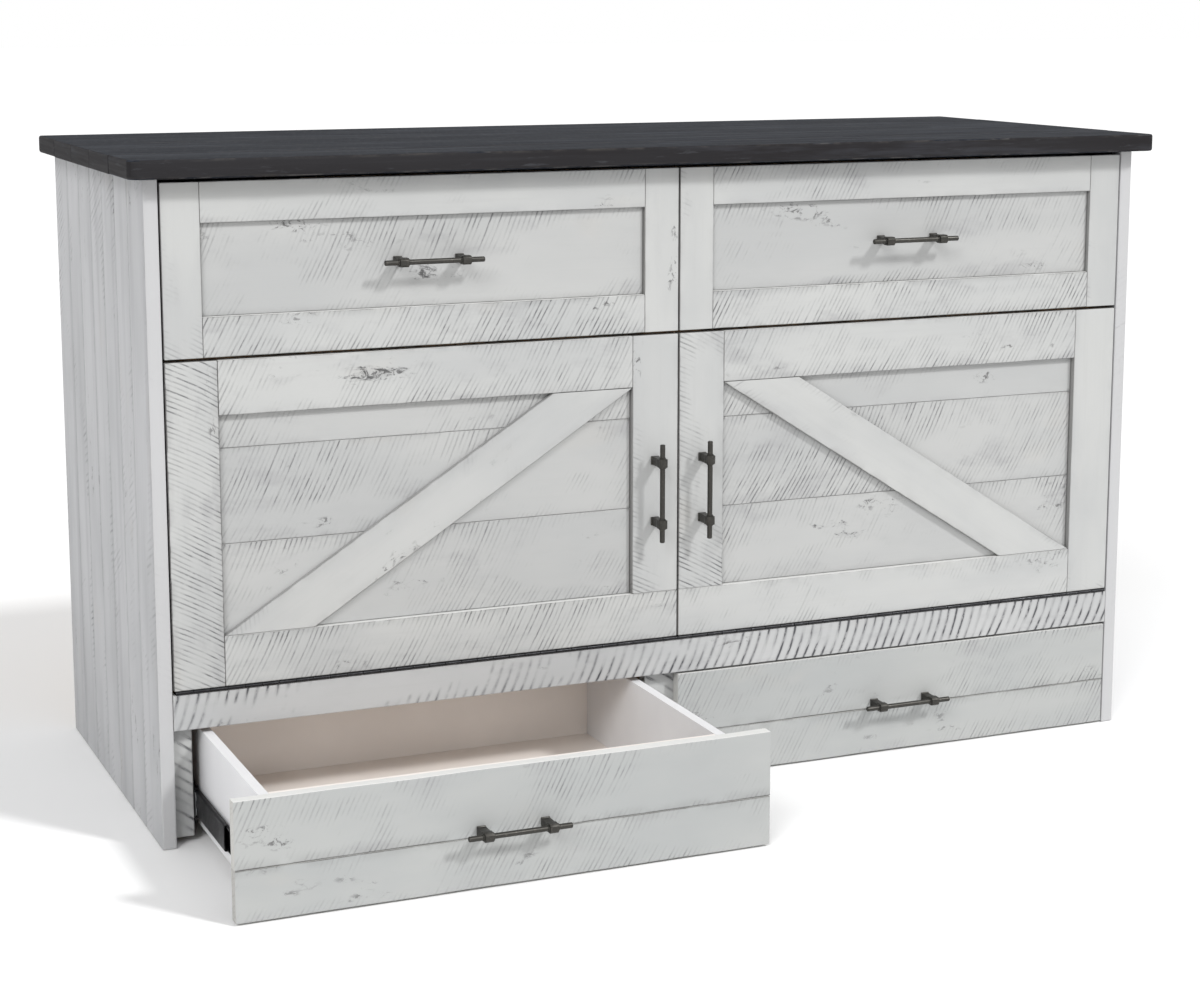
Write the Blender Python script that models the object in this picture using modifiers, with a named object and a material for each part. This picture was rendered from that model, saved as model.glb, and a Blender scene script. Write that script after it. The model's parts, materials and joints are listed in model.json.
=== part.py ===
"""Cabinet bed: a chest whose whole front folds down, with a three-section mattress inside.

Metres, +Z up. The front faces -Y, +X is to the right. The sizes below are measured from the
cabinet's own corner of reference: X = 0 at its middle, Y = 0 at the plane of its front and
Z = 0 at the floor. The empty "cabinet_frame" then puts the centre of the whole at the origin.
"""

from math import radians

import bmesh
import bpy
from mathutils import Matrix, Vector

# Cabinet
WIDTH = 1.650
DEPTH = 0.655
SIDE_HEIGHT = 0.978
SIDE_THICK = 0.0215
BACK_THICK = 0.015
BACK_BOTTOM = 0.010
TOP_THICK = 0.0275
TOP_OVERHANG_SIDE = 0.025
TOP_OVERHANG_FRONT = 0.031
GAP = 0.0003
INNER = WIDTH / 2 - SIDE_THICK
SIDE_BOARD = 0.0890
FIRST_SIDE_JOINT = 0.1075
LAST_SIDE_BOARD_LEAST = 0.050
GROOVE = 0.0030
EDGE = 0.0012
TOP_EDGE = 0.004

# Lower rail, base frame and the bay divider
RAIL_BOTTOM = 0.1775
RAIL_TOP = 0.2310
RAIL_THICK = 0.021
STILE_SET_BACK = 0.0195
STILE_BOTTOM = 0.010
END_STILE_WIDTH = 0.0305
CENTRE_STILE_HALF = 0.048
DIVIDER_HALF = 0.009
CLEAT_TOP = 0.095

# Folding front: hinge line, door panels and false drawer fronts
HINGE_Z = 0.234
BARREL_RADIUS = 0.0026
HINGE_INSET = 0.004
BARREL_INSET = 0.001
FRONT_LEAF_THICK = 0.0015
FRONT_LEAF_START = 0.0032
FRONT_LEAF_END = 0.020
FRONT_LEAF_RISE = 0.0012
FRONT_GAP = 0.0025
CENTRE_GAP_HALF = 0.0015
DOOR_BOTTOM = 0.237
DOOR_TOP = 0.717
FASCIA_BOTTOM = 0.7215
FASCIA_TOP = 0.972
FRAME_THICK = 0.019
BACKING_BACK = 0.025
DOOR_RAIL = 0.0745
DOOR_TOP_RAIL = 0.080
DOOR_STILE = 0.076
FASCIA_RAIL = 0.0585
FASCIA_STILE = 0.0560
DOOR_PANEL_FRONT = 0.0090
FASCIA_PANEL_FRONT = 0.0070
BRACE_WIDTH_ON_RAIL = 0.136
BRACE_HEAD_ON_RAIL = 0.132
BRACE_FRONT = 0.0005

# Platform behind the front, and its sliding foot half
SLAT_FRONT = 0.0253
SLAT_BACK = 0.0453
SLAT_WIDTH = 0.100
SLAT_PITCH = 0.360
LEDGER_BOTTOM = 0.008
LEDGER_TOP = 0.030
FIXED_SLAT_TOP = 0.6995
FOOT_RAIL_BOTTOM = 0.700
FOOT_RAIL_TOP = 0.7412
SLIDING_SLAT_BOTTOM = 0.0305
FASCIA_AXIS_Y = 0.0215
FASCIA_AXIS_Z = 0.9745
LEG_BARREL_RADIUS = 0.0022
LEG_LEAF_END = 0.0225
LEG_LEAF = (0.0010, 0.0021)
LEG_BACKING_DROP = 0.001
DECK_BOTTOM = 0.260
DECK_TOP = 0.280
DECK_FRONT = 0.050

# Mattress
MATTRESS_WIDTH = 1.524
MATTRESS_THICK = 0.152
SECTION_LENGTH = 0.677
MATTRESS_EDGE = 0.012
MIDDLE_Y = 0.0456
SECTION_BOTTOM = 0.285
HEAD_Y = 0.485
HEAD_Z = DECK_TOP + GAP
HEAD_PIVOT_Y = 0.5560
HEAD_PIVOT_Z = 0.3513

# Drawers and their slides, closed position
FRONT_LOW = 0.003
FRONT_HIGH = 0.174
FRONT_SPLIT = 0.077
FRONT_THICK = 0.019
FRONT_SIDE_GAP = 0.002
BOX_LEFT = -0.7595
BOX_RIGHT = -0.0610
BOX_WALL = 0.015
BOX_LENGTH = 0.510
BOX_LOW = 0.018
BOX_HIGH = 0.170
BOTTOM_LOW = 0.028
BOTTOM_HIGH = 0.034
LEFT_DRAWER_OUT = 0.328
SLIDE_LENGTH = 0.500
SLIDE_FRONT = 0.022
SLIDE_SHEET = 0.0015
SLIDE_SPACE = 0.0128
FIXED_LIP = 0.0085
MIDDLE_WEB = 0.0035
MIDDLE_LIP = 0.0100
MOVING_LIP = 0.0070
FIXED_Z = (0.035, 0.080)
MIDDLE_Z = (0.038, 0.077)
MOVING_Z = (0.0405, 0.0745)

# Bar pulls
PULL_LENGTH = 0.154
PULL_SPACING = 0.096
PULL_REACH = 0.030
PULL_BAR_RADIUS = 0.004
PULL_POST = 0.014
PULL_X = 0.4035
FASCIA_PULL_Z = 0.848
DRAWER_PULL_Z = 0.087
DOOR_PULL_X = 0.0405
DOOR_PULL_Z = 0.4735

# Lid hinge along the back
LID_AXIS_Y = 0.6590
LID_AXIS_Z = SIDE_HEIGHT
LID_BARREL_RADIUS = 0.0025
LID_BACK = 0.6535
LID_GAP = 0.0005
LID_LEAF_THICK = 0.0014
LID_LEAF_RISE = (0.0035, 0.0215)
BACK_LEAF_THICK = 0.0020
BACK_LEAF_DROP = 0.030

Y_LOW = -(LEFT_DRAWER_OUT + PULL_REACH + PULL_POST / 2)
Y_HIGH = LID_AXIS_Y + LID_BARREL_RADIUS
FRAME_Y = -(Y_LOW + Y_HIGH) / 2

FINISHES = {
    "whitewash": ((0.60, 0.60, 0.59), 0.62, 0.0),
    "charcoal": ((0.036, 0.038, 0.042), 0.50, 0.0),
    "melamine": ((0.80, 0.80, 0.81), 0.40, 0.0),
    "raw_wood": ((0.42, 0.30, 0.20), 0.70, 0.0),
    "bronze": ((0.035, 0.031, 0.029), 0.42, 0.85),
    "black_steel": ((0.030, 0.030, 0.032), 0.40, 0.85),
    "ticking": ((0.78, 0.77, 0.74), 0.90, 0.0),
}

for old in list(bpy.data.objects):
    bpy.data.objects.remove(old, do_unlink=True)

parts = bpy.data.collections.new("murphy_wall_bed")
bpy.context.scene.collection.children.link(parts)
guides = bpy.data.collections.new("cutters")
bpy.context.scene.collection.children.link(guides)


def finish_of(name, finish):
    """The part's own Principled material."""
    colour, roughness, metallic = FINISHES[finish]
    material = bpy.data.materials.new(name)
    material.use_nodes = True
    shader = material.node_tree.nodes["Principled BSDF"]
    shader.inputs["Base Color"].default_value = (*colour, 1.0)
    shader.inputs["Roughness"].default_value = roughness
    shader.inputs["Metallic"].default_value = metallic
    return material


def axis_empty(name, y, z, parent=None, x=0.0):
    """An empty on a joint's axis, at a place given in the cabinet's own coordinates."""
    empty = bpy.data.objects.new(name, None)
    empty["place"] = (x, y, z)
    base = Vector(parent["place"]) if parent else Vector((0.0, 0.0, 0.0))
    empty.parent = parent
    empty.location = Vector((x, y, z)) - base
    parts.objects.link(empty)
    return empty


def place(part, at, parent, finish):
    """Puts a part where the cabinet's coordinates say, under its joint's empty."""
    part.parent = parent
    part.location = Vector(at) - Vector(parent["place"])
    part.data.materials.clear()
    part.data.materials.append(finish_of(part.name, finish))
    parts.objects.link(part)
    return part


def block_mesh(name, size):
    """A closed box round its own centre."""
    mesh = bpy.data.meshes.new(name)
    shape = bmesh.new()
    bmesh.ops.create_cube(shape, size=1.0)
    bmesh.ops.scale(shape, vec=Vector(size), verts=shape.verts)
    shape.to_mesh(mesh)
    shape.free()
    return mesh


def board(name, x, y, z, finish, parent, edge=EDGE):
    """A board between pairs of limits, with eased edges."""
    size = (x[1] - x[0], y[1] - y[0], z[1] - z[0])
    part = bpy.data.objects.new(name, block_mesh(name, size))
    if edge:
        ease = part.modifiers.new("eased_edges", "BEVEL")
        ease.width = edge
        ease.segments = 1
        ease.limit_method = "NONE"
    centre = ((x[0] + x[1]) / 2, (y[0] + y[1]) / 2, (z[0] + z[1]) / 2)
    return place(part, centre, parent, finish)


def outline_part(name, outlines, thick, at, turn, finish, parent):
    """A flat outline, with any holes, given a thickness."""
    curve = bpy.data.curves.new(name, "CURVE")
    curve.dimensions = "2D"
    curve.fill_mode = "BOTH"
    curve.extrude = thick / 2
    for outline in outlines:
        spline = curve.splines.new("POLY")
        spline.points.add(len(outline) - 1)
        for point, (u, v) in zip(spline.points, outline):
            point.co = (u, v, 0.0, 1.0)
        spline.use_cyclic_u = True
    part = bpy.data.objects.new(name, curve)
    part.rotation_euler = turn
    return place(part, at, parent, finish)


FROM_THE_FRONT = (radians(90), 0.0, 0.0)
FROM_THE_END = (radians(90), 0.0, radians(90))
FROM_ABOVE = (0.0, 0.0, 0.0)


def elevation(name, outlines, y, finish, parent):
    """Outlines seen from the front, in X and Z, between two values of Y."""
    at = (0.0, (y[0] + y[1]) / 2, 0.0)
    return outline_part(name, outlines, y[1] - y[0], at, FROM_THE_FRONT, finish, parent)


def section(name, outlines, x, finish, parent):
    """Outlines seen from the right end, in Y and Z, between two values of X."""
    at = ((x[0] + x[1]) / 2, 0.0, 0.0)
    return outline_part(name, outlines, x[1] - x[0], at, FROM_THE_END, finish, parent)


def plan(name, outlines, z, finish, parent):
    """Outlines seen from above, in X and Y, between two values of Z."""
    at = (0.0, 0.0, (z[0] + z[1]) / 2)
    return outline_part(name, outlines, z[1] - z[0], at, FROM_ABOVE, finish, parent)


def rectangle(u, v):
    return [(u[0], v[0]), (u[1], v[0]), (u[1], v[1]), (u[0], v[1])]


def union_mesh(name, meshes):
    """Several closed meshes, each with its place, joined into one closed mesh."""
    pieces = []
    for number, (mesh, at) in enumerate(meshes):
        piece = bpy.data.objects.new(f"{name}_piece{number}", mesh)
        piece.location = at
        piece.hide_render = True
        piece.display_type = "WIRE"
        guides.objects.link(piece)
        pieces.append(piece)
    for number, piece in enumerate(pieces[1:]):
        join = pieces[0].modifiers.new(f"join{number}", "BOOLEAN")
        join.operation = "UNION"
        join.solver = "EXACT"
        join.object = piece
    bpy.context.view_layer.update()
    seen = pieces[0].evaluated_get(bpy.context.evaluated_depsgraph_get())
    joined = bpy.data.meshes.new_from_object(seen)
    joined.transform(pieces[0].matrix_world)
    joined.name = name
    for piece in pieces:
        bpy.data.objects.remove(piece, do_unlink=True)
    return joined


def rod_mesh(name, radius, length, sides=12):
    """A closed rod along X round its own centre."""
    mesh = bpy.data.meshes.new(name)
    shape = bmesh.new()
    bmesh.ops.create_cone(shape, cap_ends=True, segments=sides, radius1=radius, radius2=radius, depth=length)
    bmesh.ops.rotate(shape, cent=(0, 0, 0), matrix=Matrix.Rotation(radians(90), 3, "Y"), verts=shape.verts)
    shape.to_mesh(mesh)
    shape.free()
    mesh.shade_smooth()
    mesh.set_sharp_from_angle(angle=radians(40))
    return mesh


# ---------------------------------------------------------------- cabinet

def side(name, sign, cabinet):
    """A side of upright boards, with a V groove on its outer face at each joint."""
    outer = sign * WIDTH / 2
    inner = sign * (WIDTH / 2 - SIDE_THICK)
    cut = sign * (WIDTH / 2 - GROOVE)
    outline = [(inner, 0.0), (outer, 0.0)]
    joint = FIRST_SIDE_JOINT
    while joint < DEPTH - LAST_SIDE_BOARD_LEAST:
        outline += [(outer, joint - GROOVE / 2), (cut, joint), (outer, joint + GROOVE / 2)]
        joint += SIDE_BOARD
    outline += [(outer, DEPTH), (inner, DEPTH)]
    return plan(name, [outline], (0.0, SIDE_HEIGHT), "whitewash", cabinet)


def carcass(cabinet):
    side("left_side", -1, cabinet)
    side("right_side", 1, cabinet)
    inside = (-INNER + GAP, INNER - GAP)
    back = (DEPTH - BACK_THICK, DEPTH)
    board("back_panel", inside, back, (BACK_BOTTOM, SIDE_HEIGHT - GAP), "raw_wood", cabinet)
    board("lower_rail", inside, (0.0, RAIL_THICK), (RAIL_BOTTOM, RAIL_TOP), "whitewash", cabinet)
    deck_y = (DECK_FRONT, DEPTH - BACK_THICK - GAP)
    board("head_deck", inside, deck_y, (DECK_BOTTOM, DECK_TOP), "raw_wood", cabinet)
    base_frame(cabinet)


def base_frame(cabinet):
    """The stiles behind the drawer fronts, the divider and the cleats that the slides screw to."""
    stile_y = (STILE_SET_BACK, STILE_SET_BACK + RAIL_THICK)
    stile_z = (STILE_BOTTOM, RAIL_BOTTOM - GAP)
    web_y = (STILE_SET_BACK + RAIL_THICK + GAP, DEPTH - BACK_THICK - GAP)
    for name, sign in (("left", -1), ("right", 1)):
        wall = sign * (INNER - GAP)
        edge = sign * (INNER - GAP - END_STILE_WIDTH)
        across = (min(wall, edge), max(wall, edge))
        board(f"{name}_base_stile", across, stile_y, stile_z, "whitewash", cabinet)
        board(f"{name}_slide_cleat", across, web_y, (BOX_LOW, CLEAT_TOP), "raw_wood", cabinet)
    centre = (-CENTRE_STILE_HALF, CENTRE_STILE_HALF)
    board("centre_base_stile", centre, stile_y, stile_z, "whitewash", cabinet)
    half, foot = DIVIDER_HALF, CENTRE_STILE_HALF
    top = DECK_BOTTOM - GAP
    web = [
        (-foot, BOX_LOW), (foot, BOX_LOW), (foot, CLEAT_TOP), (half, CLEAT_TOP),
        (half, top), (-half, top), (-half, CLEAT_TOP), (-foot, CLEAT_TOP),
    ]
    elevation("drawer_divider", [web], (DECK_FRONT, web_y[1]), "raw_wood", cabinet)


def hinge_mesh(name, radius, leaf_size, leaf_at):
    """A hinge leaf and its barrel in one piece, round the barrel's axis."""
    length = leaf_size[0]
    barrel = rod_mesh(f"{name}_barrel", radius, length - 2 * BARREL_INSET)
    leaf = block_mesh(f"{name}_leaf", leaf_size)
    return union_mesh(name, [(leaf, leaf_at), (barrel, (0, 0, 0))])


def hinge(name, axis, radius, leaf_y, leaf_z, finish, parent):
    """A long hinge: its leaf's limits are counted from its axis."""
    length = 2 * (INNER - HINGE_INSET)
    size = (length, leaf_y[1] - leaf_y[0], leaf_z[1] - leaf_z[0])
    centre = (0.0, sum(leaf_y) / 2, sum(leaf_z) / 2)
    part = bpy.data.objects.new(name, hinge_mesh(name, radius, size, centre))
    return place(part, (0.0, *axis), parent, finish)


def lid(cabinet):
    """The top, which turns up about the hinge along its back edge."""
    axis = axis_empty("lid_axis", LID_AXIS_Y, LID_AXIS_Z, cabinet)
    reach = WIDTH / 2 + TOP_OVERHANG_SIDE
    low = SIDE_HEIGHT + LID_GAP
    board("top", (-reach, reach), (-TOP_OVERHANG_FRONT, LID_BACK), (low, low + TOP_THICK),
          "charcoal", axis, edge=TOP_EDGE)
    leaf_y = (LID_BACK + GAP, LID_BACK + GAP + LID_LEAF_THICK)
    board("lid_hinge_upper_leaf", (-INNER + HINGE_INSET, INNER - HINGE_INSET), leaf_y,
          (low + LID_LEAF_RISE[0], low + LID_LEAF_RISE[1]), "black_steel", axis, edge=0)
    back_leaf = DEPTH + GAP - LID_AXIS_Y
    hinge("lid_hinge_lower_leaf", (LID_AXIS_Y, LID_AXIS_Z), LID_BARREL_RADIUS,
          (back_leaf, back_leaf + BACK_LEAF_THICK), (-BACK_LEAF_DROP, -LID_GAP),
          "black_steel", cabinet)


# ---------------------------------------------------------------- folding front

def face(name, sign, z, rail, top_rail, stile, panel_front, parent, words):
    """One framed front: a ring of stiles and rails with a recessed panel inside."""
    low_x, high_x = CENTRE_GAP_HALF, INNER - FRONT_GAP
    outer_x = (min(sign * low_x, sign * high_x), max(sign * low_x, sign * high_x))
    hole_x = (outer_x[0] + stile, outer_x[1] - stile)
    hole_z = (z[0] + rail, z[1] - top_rail)
    ring = [rectangle(outer_x, z), rectangle(hole_x, hole_z)]
    elevation(f"{name}_{words}_frame", ring, (0.0, FRAME_THICK), "whitewash", parent)
    panel_x = (hole_x[0] + GAP, hole_x[1] - GAP)
    panel_z = (hole_z[0] + GAP, hole_z[1] - GAP)
    board(f"{name}_{words}_panel", panel_x, (panel_front, FRAME_THICK), panel_z,
          "whitewash", parent, edge=0)
    return hole_x, hole_z


def brace(name, sign, hole_x, hole_z, parent):
    """The sloping brace in a door: from its outer lower corner to its inner upper corner."""
    inset = 2 * GAP
    outer, inner = (hole_x if sign < 0 else (hole_x[1], hole_x[0]))
    outer -= sign * inset
    inner += sign * inset
    low, high = hole_z[0] + inset, hole_z[1] - inset
    outline = [
        (outer, low),
        (outer - sign * BRACE_WIDTH_ON_RAIL, low),
        (inner, high),
        (inner + sign * BRACE_HEAD_ON_RAIL, high),
    ]
    elevation(f"{name}_door_brace", [outline], (BRACE_FRONT, DOOR_PANEL_FRONT - GAP),
              "whitewash", parent)


def pull_mesh():
    """A bar pull: a bar on two square posts, lengthways along X, behind which is its face."""
    bar = rod_mesh("pull_bar", PULL_BAR_RADIUS, PULL_LENGTH)
    reach = PULL_REACH + PULL_POST / 2
    post = block_mesh("pull_post", (PULL_POST, reach - GAP, PULL_POST))
    middle = -(reach + GAP) / 2
    pieces = [(bar, (0, -PULL_REACH, 0))]
    pieces += [(post, (end * PULL_SPACING / 2, middle, 0)) for end in (-1, 1)]
    return union_mesh("bar_pull", pieces)


def pull(name, mesh, at, parent, upright=False):
    part = bpy.data.objects.new(name, mesh.copy())
    if upright:
        part.rotation_euler = (0.0, radians(90), 0.0)
    return place(part, at, parent, "bronze")


def comb(name, slats, bar_far, bar_near, tip, parent):
    """Slats joined by one cross bar. Heights are counted from the front's hinge line."""
    half = SLAT_WIDTH / 2
    teeth = []
    for middle in slats:
        teeth += [(middle - half, bar_near), (middle - half, tip),
                  (middle + half, tip), (middle + half, bar_near)]
    outline = [(slats[0] - half, bar_far)] + teeth[1:-1] + [(slats[-1] + half, bar_far)]
    raised = [(x, HINGE_Z + height) for x, height in outline]
    elevation(name, [raised], (SLAT_FRONT, SLAT_BACK), "raw_wood", parent)


def folding_front(cabinet, bar_pull):
    """Everything that turns down about the hinge line above the lower rail."""
    front = axis_empty("front_axis", 0.0, HINGE_Z, cabinet)
    rail_leaf = RAIL_TOP + GAP - HINGE_Z
    hinge("front_hinge_lower_leaf", (0.0, HINGE_Z), BARREL_RADIUS,
          (0.0, FRONT_LEAF_END), (rail_leaf, rail_leaf + FRONT_LEAF_THICK), "black_steel", cabinet)
    board("front_hinge_upper_leaf", (-INNER + HINGE_INSET, INNER - HINGE_INSET),
          (FRONT_LEAF_START, FRONT_LEAF_END), (HINGE_Z + FRONT_LEAF_RISE, DOOR_BOTTOM - GAP),
          "black_steel", front, edge=0)
    wide = (-INNER + FRONT_GAP, INNER - FRONT_GAP)
    for name, sign in (("left", -1), ("right", 1)):
        hole_x, hole_z = face(name, sign, (DOOR_BOTTOM, DOOR_TOP), DOOR_RAIL, DOOR_TOP_RAIL,
                              DOOR_STILE, DOOR_PANEL_FRONT, front, "door")
        brace(name, sign, hole_x, hole_z, front)
        pull(f"{name}_door_pull", bar_pull, (sign * DOOR_PULL_X, 0.0, DOOR_PULL_Z), front, True)
    board("door_backing", wide, (FRAME_THICK + GAP, BACKING_BACK), (DOOR_BOTTOM, DOOR_TOP),
          "raw_wood", front, edge=0)
    fixed = [SLAT_PITCH * step for step in (-2, -1, 0, 1, 2)]
    comb("fixed_slats", fixed, LEDGER_BOTTOM, LEDGER_TOP, FIXED_SLAT_TOP, front)
    foot = axis_empty("foot_slide_axis", SLAT_FRONT, HINGE_Z, front)
    sliding = [SLAT_PITCH * (step + 0.5) for step in (-2, -1, 0, 1)]
    comb("sliding_slats", sliding, FOOT_RAIL_TOP, FOOT_RAIL_BOTTOM, SLIDING_SLAT_BOTTOM, foot)
    hinge("foot_leg_hinge", (FASCIA_AXIS_Y, FASCIA_AXIS_Z), LEG_BARREL_RADIUS,
          (0.0, LEG_LEAF_END), LEG_LEAF, "black_steel", foot)
    foot_leg(foot, wide, bar_pull)
    return front


def foot_leg(foot, wide, bar_pull):
    """The false drawer fronts, which hang upright from the platform's end as its leg."""
    leg = axis_empty("foot_leg_axis", FASCIA_AXIS_Y, FASCIA_AXIS_Z, foot)
    z = (FASCIA_BOTTOM, FASCIA_TOP)
    for name, sign in (("left", -1), ("right", 1)):
        face(name, sign, z, FASCIA_RAIL, FASCIA_RAIL, FASCIA_STILE, FASCIA_PANEL_FRONT, leg,
             "false_drawer")
        at = (sign * PULL_X, FASCIA_PANEL_FRONT, FASCIA_PULL_Z)
        pull(f"{name}_false_drawer_pull", bar_pull, at, leg)
    board("false_drawer_backing", wide, (FRAME_THICK + GAP, BACKING_BACK),
          (FASCIA_BOTTOM, FASCIA_TOP - LEG_BACKING_DROP), "raw_wood", leg, edge=0)


def mattress(cabinet, front):
    """Three sections of foam: head, middle and foot."""
    across = (-MATTRESS_WIDTH / 2, MATTRESS_WIDTH / 2)
    tall = (SECTION_BOTTOM, SECTION_BOTTOM + SECTION_LENGTH)
    middle = (MIDDLE_Y, MIDDLE_Y + MATTRESS_THICK)
    board("mattress_middle", across, middle, tall, "ticking", front, edge=MATTRESS_EDGE)
    fold_y = middle[1] + GAP / 2
    fold = axis_empty("foot_mattress_axis", fold_y, tall[1] + GAP, front)
    folded = (middle[1] + GAP, middle[1] + GAP + MATTRESS_THICK)
    board("mattress_foot", across, folded, tall, "ticking", fold, edge=MATTRESS_EDGE)
    turn = axis_empty("head_mattress_axis", HEAD_PIVOT_Y, HEAD_PIVOT_Z, cabinet)
    board("mattress_head", across, (HEAD_Y, HEAD_Y + MATTRESS_THICK),
          (HEAD_Z, HEAD_Z + SECTION_LENGTH), "ticking", turn, edge=MATTRESS_EDGE)


# ---------------------------------------------------------------- drawers

def channel(name, web, lip, z, y, shift, finish, parent):
    """A C-shaped slide member: its web at one X, its lips reaching towards another."""
    inward = 1 if lip > web else -1
    face_x = web + inward * SLIDE_SHEET
    low, high = z
    outline = [
        (web, low), (lip, low), (lip, low + SLIDE_SHEET), (face_x, low + SLIDE_SHEET),
        (face_x, high - SLIDE_SHEET), (lip, high - SLIDE_SHEET), (lip, high), (web, high),
    ]
    elevation(name, [outline], (y[0] - shift, y[1] - shift), finish, parent)


def slides(name, sign, out, cabinet, middle, drawer):
    """The two ball-bearing slides of one drawer, in three members each."""
    y = (SLIDE_FRONT, SLIDE_FRONT + SLIDE_LENGTH)
    for where, wall, inward in (("outer", sign * -BOX_LEFT, -sign), ("inner", sign * -BOX_RIGHT, sign)):
        base = wall - inward * SLIDE_SPACE
        channel(f"{name}_slide_{where}_fixed", base, base + inward * FIXED_LIP,
                FIXED_Z, y, 0.0, "black_steel", cabinet)
        channel(f"{name}_slide_{where}_middle", base + inward * MIDDLE_WEB, base + inward * MIDDLE_LIP,
                MIDDLE_Z, y, out / 2, "black_steel", middle)
        channel(f"{name}_slide_{where}_moving", wall - inward * GAP, base + inward * MOVING_LIP,
                MOVING_Z, y, out, "black_steel", drawer)


def drawer(name, sign, out, cabinet, bar_pull):
    """A drawer on its slides, pulled out by the given distance at rest."""
    axis = axis_empty(f"{name}_drawer_axis", -out, 0.0, cabinet)
    middle = axis_empty(f"{name}_slide_axis", -out / 2, 0.0, cabinet)
    low_x, high_x = CENTRE_GAP_HALF, INNER - FRONT_SIDE_GAP
    front_x = (min(sign * low_x, sign * high_x), max(sign * low_x, sign * high_x))
    front_y = (-out, FRONT_THICK - out)
    board(f"{name}_drawer_upper_plank", front_x, front_y, (FRONT_SPLIT + GAP, FRONT_HIGH),
          "whitewash", axis)
    board(f"{name}_drawer_lower_plank", front_x, front_y, (FRONT_LOW, FRONT_SPLIT),
          "whitewash", axis)
    ends = (sign * -BOX_LEFT, sign * -BOX_RIGHT)
    box_x = (min(ends), max(ends))
    box_y = (FRONT_THICK + GAP - out, FRONT_THICK + GAP + BOX_LENGTH - out)
    hole_x = (box_x[0] + BOX_WALL, box_x[1] - BOX_WALL)
    hole_y = (box_y[0] + BOX_WALL, box_y[1] - BOX_WALL)
    walls = [rectangle(box_x, box_y), rectangle(hole_x, hole_y)]
    plan(f"{name}_drawer_box", walls, (BOX_LOW, BOX_HIGH), "melamine", axis)
    floor_x = (hole_x[0] + GAP, hole_x[1] - GAP)
    floor_y = (hole_y[0] + GAP, hole_y[1] - GAP)
    board(f"{name}_drawer_bottom", floor_x, floor_y, (BOTTOM_LOW, BOTTOM_HIGH), "melamine",
          axis, edge=0)
    pull(f"{name}_drawer_pull", bar_pull, (sign * PULL_X, -out, DRAWER_PULL_Z), axis)
    slides(name, sign, out, cabinet, middle, axis)


cabinet_frame = axis_empty("cabinet_frame", 0.0, 0.0)
cabinet_frame.location = (0.0, FRAME_Y, 0.0)
pull_shape = pull_mesh()
carcass(cabinet_frame)
lid(cabinet_frame)
front_axis = folding_front(cabinet_frame, pull_shape)
mattress(cabinet_frame, front_axis)
drawer("left", -1, LEFT_DRAWER_OUT, cabinet_frame, pull_shape)
drawer("right", 1, 0.0, cabinet_frame, pull_shape)
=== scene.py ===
"""The looks of the cabinet bed: whitewashed rough-sawn boards, a charcoal top, dark bar pulls,
melamine drawers on ball-bearing slides, and a foam mattress folded inside.

Each board is built in its own directions: U along its grain, V across its face and W through
its thickness. The attributes "wood", "span", "half" and "knot" carry those distances to the
materials, so that saw marks, glaze, worn edges and the painted shade and highlights at the edges
follow every board. All lengths are in metres.
"""

import json
from math import cos, pi, radians, sin

import bmesh
import bpy
import numpy as np
from mathutils import Matrix, Vector, noise


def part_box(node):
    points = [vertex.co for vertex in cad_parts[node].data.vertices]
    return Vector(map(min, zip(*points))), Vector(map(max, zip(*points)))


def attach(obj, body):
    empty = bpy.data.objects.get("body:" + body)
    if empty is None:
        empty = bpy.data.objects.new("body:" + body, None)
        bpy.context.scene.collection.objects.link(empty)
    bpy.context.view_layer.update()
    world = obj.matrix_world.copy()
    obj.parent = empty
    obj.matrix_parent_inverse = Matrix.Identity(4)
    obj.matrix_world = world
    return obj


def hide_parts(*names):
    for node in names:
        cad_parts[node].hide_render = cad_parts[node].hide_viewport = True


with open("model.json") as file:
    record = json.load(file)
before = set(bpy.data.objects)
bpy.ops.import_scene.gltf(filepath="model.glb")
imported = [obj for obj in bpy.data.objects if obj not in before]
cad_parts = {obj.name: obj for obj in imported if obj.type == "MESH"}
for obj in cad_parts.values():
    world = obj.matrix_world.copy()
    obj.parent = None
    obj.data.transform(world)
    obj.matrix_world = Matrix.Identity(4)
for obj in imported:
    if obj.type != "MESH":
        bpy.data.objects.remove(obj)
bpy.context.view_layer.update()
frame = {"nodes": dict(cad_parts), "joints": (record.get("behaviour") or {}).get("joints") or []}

X, Y, Z = Vector((1, 0, 0)), Vector((0, 1, 0)), Vector((0, 0, 1))
FRONT_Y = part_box("lower_rail")[0].y
EASED = 0.0014  # how far a board's arrises are rounded
FIT = 0.00025  # half the gap between neighbouring boards


def limits(node):
    """A CAD node's lowest and highest corners as pairs of limits along X, Y and Z."""
    low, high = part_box(node)
    return [(low[k], high[k]) for k in range(3)]


# ---- boards

NO_KNOT = (0.0, 0.0, 0.0)


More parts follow.
